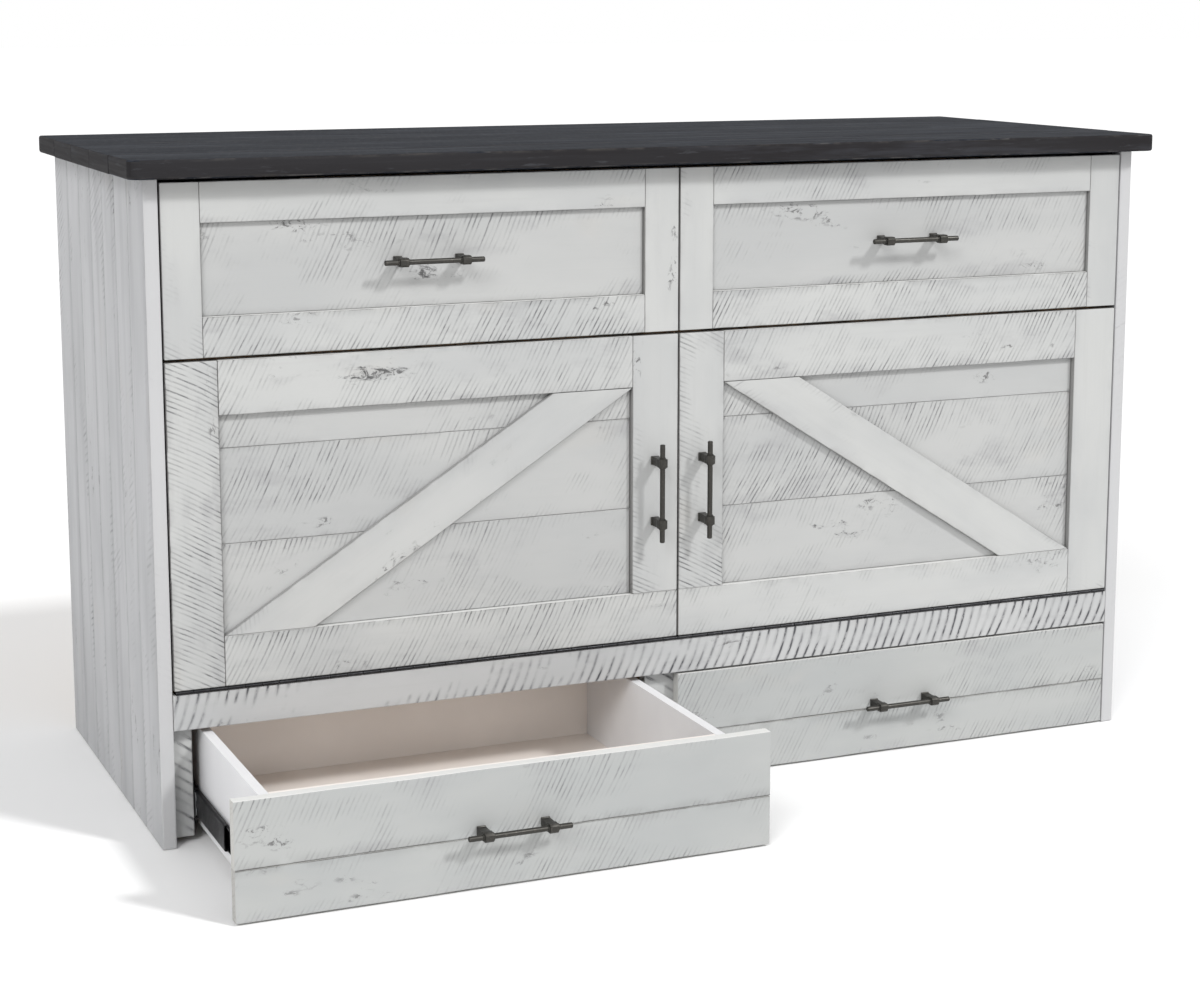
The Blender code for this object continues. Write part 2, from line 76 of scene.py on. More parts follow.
def prism(target, outline, thick, axes, origin, seed, ease=EASED, segments=2, rough=0.0,
          level=False, glaze=0.0, knot=NO_KNOT):
    """Adds one board to a mesh. Its outline is in U and V, its thickness along W."""
    along, across, through = axes
    shape = bmesh.new()
    points = [shape.verts.new((u, v, thick[0])) for u, v in outline]
    bottom = shape.faces.new(points)
    raised = bmesh.ops.extrude_face_region(shape, geom=[bottom])
    top = [g for g in raised["geom"] if isinstance(g, bmesh.types.BMVert)]
    bmesh.ops.translate(shape, vec=(0, 0, thick[1] - thick[0]), verts=top)
    bmesh.ops.recalc_face_normals(shape, faces=shape.faces)
    if rough:
        roughen(shape, outline, rough, seed)
    if ease:
        sharp = [e for e in shape.edges if e.calc_face_angle(0) > 0.3]
        bmesh.ops.bevel(shape, geom=sharp, offset=ease, segments=segments, profile=0.6,
                        affect="EDGES", clamp_overlap=True)
    ends = [(min(values), max(values)) for values in (*zip(*outline), thick)]
    middle = Vector([(low + high) / 2 for low, high in ends])
    half = Vector([(high - low) / 2 for low, high in ends])
    label(shape, middle, half, (glaze, level, seed), knot)
    join(target, shape, Matrix((along, across, through)).transposed(), origin)


def join(target, shape, turn, origin):
    """Turns a finished shape, moves it into place and adds it to its piece."""
    matrix = turn.to_4x4()
    matrix.translation = origin
    bmesh.ops.transform(shape, matrix=matrix, verts=shape.verts)
    mesh = as_mesh("joined", shape)
    target.from_mesh(mesh)
    bpy.data.meshes.remove(mesh)


def as_mesh(name, shape):
    """A mesh made of a finished shape."""
    mesh = bpy.data.meshes.new(name)
    shape.to_mesh(mesh)
    shape.free()
    return mesh


def roughen(shape, outline, rough, seed):
    """Cuts a board's length into short stretches and moves its long edges a little."""
    us = [u for u, _ in outline]
    stretch = 0.035
    length = max(us) - min(us)
    cuts = int(length / stretch)
    for n in range(1, cuts):
        at = min(us) + n * length / cuts
        geometry = list(shape.verts) + list(shape.edges) + list(shape.faces)
        bmesh.ops.bisect_plane(shape, geom=geometry, plane_co=(at, 0, 0), plane_no=(1, 0, 0))
    for point in shape.verts:
        wave = noise.noise(Vector((point.co.x * 9, seed * 3.1 + point.co.y * 40, point.co.z * 30)))
        point.co.y += rough * wave


def label(shape, middle, half, wood, knot):
    """Writes each corner's place on its board, for the materials.

    wood is how much more glaze than usual is left on it, whether its upper edge gets a painted
    highlight, and its seed. That upward-facing edge is marked for the materials, which paint a
    highlight on it and leave no glaze there.
    knot is a knot's place in shares of the board's half size, and its radius.
    """
    layers = [shape.loops.layers.float_vector.new(name)
              for name in ("wood", "span", "half", "knot")]
    glaze, level, seed = wood
    knot = Vector((knot[0] * half.x, knot[1] * half.y, knot[2]))
    for face in shape.faces:
        n = face.normal
        if abs(n.z) >= abs(n.y) and abs(n.z) >= abs(n.x):
            a, b, end = 0, 1, 0.0
        elif abs(n.y) >= abs(n.x):
            a, b, end = 0, 2, 0.5
        else:
            a, b, end = 1, 2, 1.0
        # The upward-facing edge of a board marked for it gets a painted highlight.
        painted_highlight = 1.0 if level and n.y > 0.5 else 0.0
        for corner in face.loops:
            place = corner.vert.co
            values = (Vector((glaze, painted_highlight, seed)),
                      Vector((place[a] - middle[a], place[b] - middle[b], 0)),
                      Vector((half[a], half[b], end)), knot)
            for layer, value in zip(layers, values):
                corner[layer] = value


def box_outline(u, v):
    """The corners of a rectangle, from its limits along U and V."""
    return [(u[0], v[0]), (u[1], v[0]), (u[1], v[1]), (u[0], v[1])]


# U, V and W of a board, from the direction of its grain and the side its face is on.
FRAMES = {
    ("x", "front"): (X, Z, -Y),
    ("z", "front"): (Z, -X, -Y),
    ("x", "top"): (X, Y, Z),
    ("y", "top"): (Y, -X, Z),
    ("z", "left"): (Z, -Y, -X),
    ("z", "right"): (Z, Y, X),
    ("y", "right"): (Y, Z, X),
    ("x", "back"): (-X, Z, Y),
}


def plank(target, x, y, z, grain, side, seed, **options):
    """Adds a board that fills a box, with its grain and its face named."""
    axes = FRAMES[(grain, side)]
    spans = []
    for axis in axes:
        k = max(range(3), key=lambda n: abs(axis[n]))
        low, high = (x, y, z)[k]
        spans.append((low, high) if axis[k] > 0 else (-high, -low))
    # Horizontal front boards get a painted highlight on their upper edge unless told otherwise.
    options.setdefault("level", (grain, side) == ("x", "front"))
    prism(target, box_outline(spans[0], spans[1]), spans[2], axes, Vector(), seed, **options)


def between(cuts):
    """The stretches between cuts, each with half a gap left at its ends."""
    return [(low + FIT, high - FIT) for low, high in zip(cuts, cuts[1:])]


def new_object(name, data):
    """An object in the scene that holds a mesh, a curve, a lamp or a camera."""
    thing = bpy.data.objects.new(name, data)
    bpy.context.scene.collection.objects.link(thing)
    return thing


def baked(thing):
    """A mesh of an object, as its modifiers leave it."""
    graph = bpy.context.evaluated_depsgraph_get()
    return bpy.data.meshes.new_from_object(thing.evaluated_get(graph))


def finish_mesh(name, shape, *about, **options):
    """Makes the collected boards one piece. The rest is as for finish_piece."""
    finish_piece(name, as_mesh(name, shape), *about, **options)


def finish_piece(name, mesh, material, body, replaced=(), slot=None, smooth=None):
    """Gives a mesh its material, its body, and the CAD nodes it stands for.

    smooth is the angle, in degrees, above which its edges stay sharp.
    """
    mesh.materials.clear()
    mesh.materials.append(material)
    if smooth:
        mesh.shade_smooth()
        mesh.set_sharp_from_angle(angle=radians(smooth))
    piece = new_object(name, mesh)
    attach(piece, body)
    if replaced:
        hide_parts(*replaced)
    return piece


# ---- materials

class Nodes:
    """Short words for building a material's node tree."""

    def __init__(self, name, roughness=0.5, metallic=0.0):
        self.material = bpy.data.materials.new(name)
        self.material.use_nodes = True
        self.tree = self.material.node_tree
        self.shader = self.tree.nodes["Principled BSDF"]
        self.shader.inputs["Roughness"].default_value = roughness
        self.shader.inputs["Metallic"].default_value = metallic

    def link(self, a, b):
        self.tree.links.new(a, b)

    def put(self, socket, value):
        """Links a socket to another, or sets it to a value."""
        if isinstance(value, bpy.types.NodeSocket):
            self.link(value, socket)
        elif value is not None:
            socket.default_value = value

    def math(self, kind, a, b=None):
        node = self.tree.nodes.new("ShaderNodeMath")
        node.operation = kind
        for socket, value in zip(node.inputs, (a, b)):
            self.put(socket, value)
        return node.outputs[0]

    def times(self, a, b):
        return self.math("MULTIPLY", a, b)

    def plus(self, a, b):
        return self.math("ADD", a, b)

    def minus(self, a, b):
        return self.math("SUBTRACT", a, b)

    def attribute(self, name):
        """A mesh attribute's three numbers."""
        node = self.tree.nodes.new("ShaderNodeAttribute")
        node.attribute_name = name
        parts = self.tree.nodes.new("ShaderNodeSeparateXYZ")
        self.link(node.outputs["Vector"], parts.inputs[0])
        return parts.outputs

    def place(self):
        """Places on the object itself."""
        return self.tree.nodes.new("ShaderNodeTexCoord").outputs["Object"]

    def vector(self, x, y, z):
        node = self.tree.nodes.new("ShaderNodeCombineXYZ")
        for socket, value in zip(node.inputs, (x, y, z)):
            self.put(socket, value)
        return node.outputs[0]

    def noise(self, at, scale=1.0, detail=3.0, rough=0.55, warp=0.0):
        node = self.tree.nodes.new("ShaderNodeTexNoise")
        self.put(node.inputs["Vector"], at)
        node.inputs["Scale"].default_value = scale
        node.inputs["Detail"].default_value = detail
        node.inputs["Roughness"].default_value = rough
        node.inputs["Distortion"].default_value = warp
        return node.outputs["Fac"]

    def ramp(self, value, low, high, out_low=0.0, out_high=1.0):
        """A smooth step from out_low, at low and below, to out_high."""
        node = self.tree.nodes.new("ShaderNodeMapRange")
        node.interpolation_type = "SMOOTHSTEP"
        for k, v in enumerate((value, low, high, out_low, out_high)):
            self.put(node.inputs[k], v)
        return node.outputs[0]

    def mix(self, amount, a, b):
        """Colour a, with an amount of colour b over it."""
        node = self.tree.nodes.new("ShaderNodeMix")
        node.data_type = "RGBA"
        self.put(node.inputs["Factor"], amount)
        for socket, value in (("A", a), ("B", b)):
            is_socket = isinstance(value, bpy.types.NodeSocket)
            self.put(node.inputs[socket], value if is_socket else (*value, 1.0))
        return node.outputs["Result"]

    def coats(self, colour, *coats):
        """A colour under coats of paint. Each is a mask, its strength and its colour."""
        for mask, strength, coat in coats:
            if strength:
                colour = self.mix(self.times(mask, strength), colour, coat)
        return colour

    def bump(self, height, distance, strength):
        node = self.tree.nodes.new("ShaderNodeBump")
        node.inputs["Strength"].default_value = strength
        node.inputs["Distance"].default_value = distance
        self.link(height, node.inputs["Height"])
        self.link(node.outputs[0], self.shader.inputs["Normal"])

    def colour(self, value):
        self.put(self.shader.inputs["Base Color"], value)

    def roughness(self, value):
        self.put(self.shader.inputs["Roughness"], value)


class Board:
    """Where a place is on its board: u and v, its seed, and how far it is from the edges."""

    def __init__(self, n):
        self.n = n
        span, half, wood = n.attribute("span"), n.attribute("half"), n.attribute("wood")
        self.u, self.v = span[0], span[1]
        self.seed = n.times(wood[2], 7.3)  # spreads the seeds out in the noise
        # wood[1] marks where a painted highlight goes on an upper edge.
        self.glaze, self.painted_highlight = wood[0], wood[1]
        self.knot = n.attribute("knot")
        self.reach = half[1]
        self.across = n.minus(half[1], n.math("ABSOLUTE", self.v))
        self.along = n.minus(half[0], n.math("ABSOLUTE", self.u))
        self.edge = n.ramp(half[2], 0.2, 0.4)
        self.end = n.ramp(half[2], 0.7, 0.9)

    def noise(self, along, across, detail=3.0, rough=0.55, warp=0.0, layer=0.0):
        """A noise with its own scale along and across the board, different on each layer."""
        n = self.n
        seed = n.plus(self.seed, layer)
        at = n.vector(n.times(self.u, along), n.times(self.v, across), seed)
        return n.noise(at, 1.0, detail, rough, warp)


def knot_blot(n, board):
    """How near a place is to its board's knot: 1 in the middle, 0 outside its radius."""
    du = n.times(n.minus(board.u, board.knot[0]), 0.5)
    dv = n.minus(board.v, board.knot[1])
    far = n.math("SQRT", n.plus(n.times(du, du), n.times(dv, dv)))
    ragged = n.minus(board.noise(15.0, 34.0, 4.0, 0.7, 0.5, layer=11.0), 0.46)
    far = n.plus(far, n.times(ragged, n.times(board.knot[2], 6.0)))
    near = n.math("DIVIDE", n.minus(board.knot[2], far), n.times(board.knot[2], 0.6))
    return n.ramp(near, 0.0, 1.0)


def saw_marks(n, board, tilt, pitch, bend, thin=0.25):
    """Strokes left by a saw, at an angle to the grain: a soft hatching and crisp lines in it.

    s runs across the strokes and t along them.
    """
    slope = radians(tilt)
    wobble = n.minus(board.noise(4.0, 6.0, 1.0), 0.5)
    s = n.minus(n.times(board.u, sin(slope)), n.times(board.v, cos(slope)))
    s = n.plus(s, n.times(n.times(board.v, board.v), bend))
    s = n.plus(s, n.times(wobble, pitch * 1.8))
    t = n.plus(n.times(board.u, cos(slope)), n.times(board.v, sin(slope)))
    wave = n.math("SINE", n.plus(n.times(s, 2 * pi / pitch), board.seed))
    stroke_at = n.vector(n.times(s, 1.0 / pitch), n.times(t, 15.0), board.seed)
    chance = n.noise(stroke_at, 1.0, 2.0)
    broken_at = n.vector(n.times(s, 2.6 / pitch), n.times(t, 60.0), board.seed)
    broken = n.ramp(n.noise(broken_at, 1.0, 3.0, 0.7), 0.34, 0.56)
    soft = n.times(n.ramp(wave, -0.35, 0.95), n.ramp(chance, 0.26, 0.56))
    crisp = n.times(n.ramp(wave, thin, 0.97), n.ramp(chance, 0.38, 0.60))
    return soft, n.times(crisp, broken)


def edge_glaze_and_shade(n, board, rim, glaze, seam, crack):
    """Glaze and painted shade along a board's edges: a broken dark line and a soft band of painted
    shade beside it.
    """
    worn = n.ramp(board.noise(26.0, 26.0, 3.0, layer=7.0), 0.36, 0.60)
    edge = board.across
    if crack:
        edge = n.plus(n.minus(board.reach, n.times(board.v, crack)), board.edge)
    least = 0.65 if crack else 0.25
    share = n.plus(n.times(worn, 1.0 - least), least)
    # A broken dark line at the edge: glaze and painted shade.
    line = n.times(n.ramp(edge, 0.0, rim, 1.0, 0.0), share)
    # A soft band of painted shade beside the line.
    painted_shade_band = n.times(n.ramp(edge, 0.0, rim * 7.0, 0.16, 0.0), worn)
    rims = n.plus(line, painted_shade_band)
    if seam is not None:
        # At the planks' ends by the recess walls and in their corners: glaze and painted shade.
        ends = n.ramp(board.along, 0.0, 0.0035, 1.0, 0.0)
        corner_glaze_and_shade = n.times(n.ramp(board.along, 0.0, 0.010, 0.8, 0.0),
                       n.ramp(board.across, 0.0, 0.007, 0.8, 0.0))
        rims = n.math("MAXIMUM", n.times(rims, seam), n.math("MAXIMUM", ends, corner_glaze_and_shade))
    rims = n.times(n.times(rims, glaze), n.minus(1.0, board.painted_highlight))
    return n.times(rims, n.plus(1.0, n.times(board.glaze, 3.0)))


def whitewash(name, tilt=62.0, pitch=0.0068, strength=0.74, cover=0.5, bend=0.8, thin=0.25,
              lean=0.0, tone=(0.468, 0.472, 0.464), cool=(0.420, 0.426, 0.424), rim=0.0018,
              glaze=0.75, sides=0.45, seam=None, crack=0.0, streaks=0.0,
              side_tone=(0.13, 0.125, 0.12)):
    """White paint rubbed over rough-sawn pine, with grey glaze left in the saw marks.

    The marks lie at tilt degrees to the grain, pitch apart. bend curves them and thin narrows
    them. cover is how much of the board they take up, and lean makes them denser towards one end.
    rim is the width of the dark line along the edges, glaze and painted shade, with a soft band of
    painted shade beside it, and glaze is how strong they are. crack keeps them to one long edge.
    seam
    is for recessed planks: it weakens them where they meet, but not at their ends, nor the glaze
    and painted shade in their corners. sides and side_tone are for the long sides: a dark
    side_tone is glaze and painted shade, a light one a painted highlight. The upper edge of a
    board marked for it gets a painted highlight, and no glaze.
    """
    n = Nodes(name, roughness=0.6)
    board = Board(n)
    soft, crisp = saw_marks(n, board, tilt, pitch, bend, thin)
    broad = board.noise(3.2, 9.0, 2.0, 0.6)
    small = board.noise(17.0, 26.0, 3.0, 0.6, layer=3.0)
    near = n.plus(n.ramp(board.across, 0.0, 0.03, 0.07, 0.0),
                  n.ramp(board.along, 0.0, 0.10, 0.07, 0.0))
    reach = n.plus(n.plus(broad, near), n.times(n.minus(small, 0.5), 0.5))
    reach = n.plus(reach, n.plus(board.glaze, n.times(board.u, lean)))
    low = 0.66 - 0.28 * cover
    patch = n.ramp(reach, low, low + 0.16)
    heavy = n.ramp(reach, low + 0.13, low + 0.30)
    crisp = n.times(crisp, n.plus(n.times(patch, 0.26), n.times(heavy, 0.60)))
    marks = n.plus(crisp, n.times(n.times(soft, patch), 0.20))
    grain = board.noise(5.0, 150.0, 4.0, 0.6, 0.2)
    mottle = board.noise(3.0, 8.0, 3.0, layer=1.0)
    smudge = n.ramp(board.noise(9.0, 22.0, 4.0, 0.65, layer=2.0), 0.50, 0.72)
    streak = n.ramp(board.noise(1.1, 34.0, 3.0, 0.6, layer=9.0), 0.45, 0.74)
    warm = board.noise(5.0, 11.0, 2.0, layer=4.0)
    speck = n.ramp(board.noise(70.0, 110.0, 4.0, 0.75, 0.6, layer=5.0), 0.52, 0.62)
    zone = n.ramp(board.noise(5.0, 13.0, 3.0, 0.7, layer=6.0), 0.62, 0.70)
    blot = knot_blot(n, board)
    crumbs = n.ramp(board.noise(60.0, 90.0, 5.0, 0.75, 1.2, layer=8.0), 0.46, 0.58)
    n.colour(n.coats(
        n.mix(n.ramp(mottle, 0.35, 0.68), tone, cool),
        (n.times(smudge, n.plus(patch, 0.25)), 0.46, (0.33, 0.33, 0.335)),
        (n.ramp(grain, 0.50, 0.74), 0.13, (0.38, 0.375, 0.37)),
        (streak, streaks, (0.24, 0.24, 0.255)),
        (n.ramp(warm, 0.62, 0.80), 0.25, (0.48, 0.45, 0.41)),
        (marks, strength, (0.075, 0.076, 0.082)),
        (n.times(speck, zone), 0.85, (0.09, 0.088, 0.088)),
        (blot, 0.12, (0.22, 0.22, 0.225)),
        (n.times(blot, crumbs), 0.9, (0.045, 0.044, 0.045)),
        # Glaze and painted shade along the edges.
        (edge_glaze_and_shade(n, board, rim, glaze, seam, crack), 1.0, (0.085, 0.082, 0.080)),
        # The long sides: a dark side_tone is glaze and painted shade, a light one a painted
        # highlight.
        (board.edge, sides, side_tone),
        # A painted highlight on the upper edge of a marked board.
        (board.painted_highlight, 0.85, (0.72, 0.72, 0.705)),
        (board.end, 0.35, (0.30, 0.285, 0.27))))
    n.roughness(n.plus(0.55, n.times(marks, 0.25)))
    n.bump(n.minus(n.times(grain, 0.30), marks), 0.0007, 0.75)
    return n.material


def charcoal(name):
    """Dark stain on worn planks, rubbed through to grey at the edges."""
    n = Nodes(name, roughness=0.62)
    n.shader.inputs["Specular IOR Level"].default_value = 0.03
    board = Board(n)
    grain = board.noise(4.0, 120.0, 4.0, 0.65, 0.3)
    broad = board.noise(1.6, 14.0, 3.0)
    marks = n.times(saw_marks(n, board, 74.0, 0.014, 0.4)[1], n.minus(1.0, board.edge))
    streak = n.ramp(board.noise(3.4, 42.0, 4.0, 0.7, layer=2.0), 0.52, 0.70)
    dashes = n.ramp(board.noise(14.0, 110.0, 4.0, 0.7, layer=7.0), 0.60, 0.70)
    worn = board.noise(24.0, 60.0, 4.0, 0.65, layer=4.0)
    rim = n.times(n.ramp(board.across, 0.0, 0.0050, 1.0, 0.0), n.ramp(worn, 0.44, 0.66))
    n.colour(n.coats(
        n.mix(n.ramp(broad, 0.35, 0.7), (0.016, 0.018, 0.0235), (0.029, 0.032, 0.039)),
        (n.ramp(grain, 0.50, 0.75), 0.42, (0.050, 0.055, 0.066)),
        (streak, 0.42, (0.075, 0.083, 0.103)),
        (dashes, 0.40, (0.125, 0.135, 0.155)),
        (marks, 0.12, (0.08, 0.08, 0.085)),
        (rim, 0.45, (0.16, 0.15, 0.14)),
        (board.edge, 0.55, (0.027, 0.023, 0.021))))
    n.roughness(n.ramp(grain, 0.3, 0.8, 0.52, 0.70))
    n.bump(n.minus(grain, n.times(rim, 0.3)), 0.0008, 0.8)
    return n.material


def raw_wood(name, light=(0.60, 0.42, 0.25), dark=(0.40, 0.25, 0.13)):
    """Unfinished softwood, with rings drawn out along its grain."""
    n = Nodes(name, roughness=0.65)
    board = Board(n)
    bend = board.noise(1.4, 6.0, 2.0)
    rings = n.math("SINE", n.times(n.plus(n.times(board.v, 3.0), bend), 58.0))
    fibre = board.noise(6.0, 260.0, 4.0, 0.65)
    tint = n.plus(n.times(rings, 0.22), fibre)
    knot = n.ramp(board.noise(7.0, 16.0, 2.0, layer=3.0), 0.70, 0.80)
    n.colour(n.coats(n.mix(n.ramp(tint, 0.25, 0.85), light, dark),
                     (knot, 0.6, (0.16, 0.085, 0.045))))
    n.bump(fibre, 0.0004, 0.6)
    return n.material


def melamine(name, light=(0.80, 0.80, 0.81), dark=(0.75, 0.75, 0.765)):
    """Melamine facing with a very faint pebble."""
    n = Nodes(name, roughness=0.36)
    pebble = n.noise(n.place(), 900.0, 2.0)
    cloud = n.noise(n.place(), 6.0, 3.0)
    n.colour(n.mix(n.ramp(cloud, 0.3, 0.7), light, dark))
    n.roughness(n.ramp(pebble, 0.3, 0.7, 0.32, 0.44))
    n.bump(pebble, 0.00012, 0.5)
    return n.material


def metal(name, colour, worn_colour, roughness):
    """Coated or plated metal with fine scratches and rubbed high spots."""
    n = Nodes(name, roughness=roughness, metallic=0.9)
    cloud = n.noise(n.place(), 22.0, 4.0, 0.6)
    scratch = n.noise(n.place(), 240.0, 4.0, 0.7, 0.6)
    n.colour(n.coats(colour, (n.ramp(scratch, 0.50, 0.72), 0.35, worn_colour)))
    n.roughness(n.ramp(cloud, 0.3, 0.7, roughness - 0.08, roughness + 0.12))
    n.bump(scratch, 0.0001, 0.5)
    return n.material


def ticking(name):
    """Knitted mattress cover: small ribs and a slow change of tone."""
    n = Nodes(name, roughness=0.9)
    parts = n.tree.nodes.new("ShaderNodeSeparateXYZ")
    n.link(n.place(), parts.inputs[0])
    ribs = n.math("SINE", n.times(parts.outputs[0], 2 * pi / 0.0042))
    rows = n.math("SINE", n.times(parts.outputs[2], 2 * pi / 0.0050))
    knit = n.times(ribs, rows)
    cloud = n.noise(n.place(), 9.0, 3.0)
    base = n.mix(n.ramp(cloud, 0.3, 0.7), (0.60, 0.595, 0.57), (0.53, 0.525, 0.50))
    n.colour(n.coats(base, (n.ramp(knit, -0.2, 0.9), 0.25, (0.42, 0.415, 0.40))))
    n.shader.inputs["Sheen Weight"].default_value = 0.25
    n.bump(knit, 0.0005, 0.6)
    return n.material


def piping_fabric(name):
    """A grey woven tape."""
    n = Nodes(name, roughness=0.85)
    weave = n.noise(n.place(), 700.0, 3.0)
    n.colour(n.mix(n.ramp(weave, 0.35, 0.65), (0.20, 0.22, 0.25), (0.30, 0.32, 0.35)))
    n.bump(weave, 0.0003, 0.7)
    return n.material


WHITE = whitewash("whitewash_boards", cover=0.82, sides=0.55)
WHITE_PANEL = whitewash("whitewash_panels", cover=0.72, strength=0.68, rim=0.0016, glaze=0.9,
                        seam=0.50, tone=(0.435, 0.438, 0.432), cool=(0.40, 0.405, 0.403))
WHITE_BRACE = whitewash("whitewash_braces", cover=0.25, strength=0.40, rim=0.0022, glaze=0.65)
DRAWER_PAINT = dict(tone=(0.395, 0.402, 0.395), cool=(0.36, 0.37, 0.368), glaze=1.0, sides=0.9)
# The planks' light side_tone is a painted highlight on their long sides, brighter on the upper
# plank.
WHITE_UPPER = whitewash("whitewash_upper_plank", cover=0.74, strength=0.62, rim=0.0026, crack=-1.0,
                        side_tone=(0.66, 0.66, 0.63), **DRAWER_PAINT)
WHITE_LOWER = whitewash("whitewash_lower_plank", cover=0.66, strength=0.55, rim=0.0020, crack=1.0,
                        side_tone=(0.50, 0.50, 0.48), **DRAWER_PAINT)
WHITE_SIDE = whitewash("whitewash_sides", cover=0.30, strength=0.60, pitch=0.010,
                       tone=(0.465, 0.468, 0.48), cool=(0.40, 0.405, 0.415), glaze=0.6, sides=0.85,
                       streaks=0.34, side_tone=(0.47, 0.47, 0.475))
WHITE_RAIL = whitewash("whitewash_rail", tilt=72.0, pitch=0.0150, cover=0.95, strength=1.5,
                       bend=2.5, thin=0.62, lean=0.24, tone=(0.45, 0.452, 0.452),
                       cool=(0.41, 0.415, 0.418), glaze=0.25, sides=0.0)
WHITE_BASE = whitewash("whitewash_base", tilt=56.0, pitch=0.015, cover=1.1, strength=0.95,
                       bend=2.0, thin=0.45)
CHARCOAL = charcoal("charcoal_planks")
PINE = raw_wood("raw_pine")
PLY = raw_wood("raw_plywood", (0.52, 0.36, 0.21), (0.38, 0.24, 0.13))
MELAMINE = melamine("white_melamine")
LINING = melamine("warm_lining", (0.90, 0.845, 0.80), (0.85, 0.795, 0.75))
BRONZE = metal("dark_bronze", (0.060, 0.058, 0.053), (0.17, 0.155, 0.14), 0.42)
BLACK_STEEL = metal("black_steel", (0.028, 0.028, 0.030), (0.14, 0.14, 0.15), 0.38)
ZINC = metal("zinc_plate", (0.60, 0.62, 0.63), (0.40, 0.41, 0.42), 0.30)
TICKING = ticking("mattress_cover")
PIPING = piping_fabric("mattress_piping")


# ---- fronts

def framed_face(stem, body, full_stiles, glaze, knot=NO_KNOT):
    """Stiles and rails as four boards. full_stiles says which stiles run past the bottom rail.

    glaze is for the left and right stile, the top and the bottom rail. The top rail has the knot.
    """
    name, node = f"{stem}_boards", f"{stem}_frame"
    boards = bmesh.new()
    (x0, x1), thick, (z0, z1) = limits(node)
    (a, b), _, (c, d) = limits(f"{stem}_panel")
    seed = 1 + len(name) * 0.7
    low_z = [z0 if full else c for full in full_stiles]
    plank(boards, (x0, a - FIT), thick, (low_z[0], z1), "z", "front", seed, glaze=glaze[0])
    plank(boards, (b + FIT, x1), thick, (low_z[1], z1), "z", "front", seed + 1.3, glaze=glaze[1])
    plank(boards, (a, b), thick, (d + FIT, z1), "x", "front", seed + 2.9, glaze=glaze[2],
          knot=knot)
    bottom_x = (a if full_stiles[0] else x0, b if full_stiles[1] else x1)
    plank(boards, bottom_x, thick, (z0, c - FIT), "x", "front", seed + 4.1, glaze=glaze[3])
    finish_mesh(name, boards, WHITE, body, [node])


# joints are the shares of the panel's height where its planks meet. planks is their glaze, and
# low_knot is the lowest plank's knot.
DOOR_LOOKS = {
    "left": dict(full_stiles=(True, False), glaze=(0.14, -0.16, -0.02, 0.02),
                 knot=(-0.27, 0.12, 0.024), joints=(0.415, 0.849), planks=(0.02, 0.06, 0.0),
                 low_knot=NO_KNOT),
    "right": dict(full_stiles=(False, True), glaze=(-0.03, -0.18, -0.07, -0.12), knot=NO_KNOT,
                  joints=(0.386, 0.825), planks=(-0.02, 0.05, -0.02),
                  low_knot=(-0.34, 0.1, 0.018)),
}


def door(side):
    """A false barn door: frame, three planks and a sloping brace."""
    looks = DOOR_LOOKS[side]
    framed_face(f"{side}_door", "front", looks["full_stiles"], looks["glaze"], looks["knot"])
    x, y, z = limits(f"{side}_door_panel")
    cuts = [z[0] + (z[1] - z[0]) * share for share in (0.0, *looks["joints"], 1.0)]
    planks = bmesh.new()
    for n, height in enumerate(between(cuts)):
        plank(planks, x, y, height, "x", "front", 11 + n * 1.9 + len(side), ease=0.0011,
              glaze=looks["planks"][n], knot=NO_KNOT if n else looks["low_knot"])
    finish_mesh(f"{side}_door_planks", planks, WHITE_PANEL, "front", [f"{side}_door_panel"])
    brace(side)


def brace(side):
    """The sloping brace, cut to the corners of its CAD node."""
    node = f"{side}_door_brace"
    _, (y0, y1), (z0, z1) = limits(node)
    corners = [p.co for p in frame["nodes"][node].data.vertices]
    low = sorted(p.x for p in corners if p.z < (z0 + z1) / 2)
    high = sorted(p.x for p in corners if p.z > (z0 + z1) / 2)
    outer = [Vector((low[0], y0, z0)), Vector((low[-1], y0, z0)),
             Vector((high[-1], y0, z1)), Vector((high[0], y0, z1))]
    slope = (outer[3] - outer[0]).normalized()
    along = slope if side == "left" else -slope
    across = (-Y).cross(along)
    origin = Vector((limits(node)[0][0], y1, z0))
    outline = [((p - origin).dot(along), (p - origin).dot(across)) for p in outer]
    boards = bmesh.new()
    prism(boards, outline, (0.0, y1 - y0), (along, across, -Y), origin, 23.0 + len(side),
          ease=0.0012)
    finish_mesh(f"{side}_door_brace_board", boards, WHITE_BRACE, "front", [node])


def false_drawer(side):
    """A false drawer front: frame and panel."""
    framed_face(f"{side}_false_drawer", "foot_leg", (True, True), (-0.18, -0.18, -0.12, 0.06))
    knot = (0.01, -0.22, 0.017) if side == "left" else NO_KNOT
    single_board(f"{side}_false_drawer_panel", f"{side}_false_drawer_plank", "x", "front",
                 WHITE_PANEL, "foot_leg", 31 + len(side) * 1.1, ease=0.0010, knot=knot)


def drawer_front(side):
    """Two planks with an uneven crack between them. Only the upper one has a painted highlight on
    its top edge.
    """
    for n, (which, look) in enumerate((("upper", WHITE_UPPER), ("lower", WHITE_LOWER))):
        single_board(f"{side}_drawer_{which}_plank", f"{side}_drawer_{which}_board", "x",
                     "front", look, f"{side}_drawer", 41 + n * 2.3 + len(side), ease=0.0016,
                     rough=0.0009, level=which == "upper")


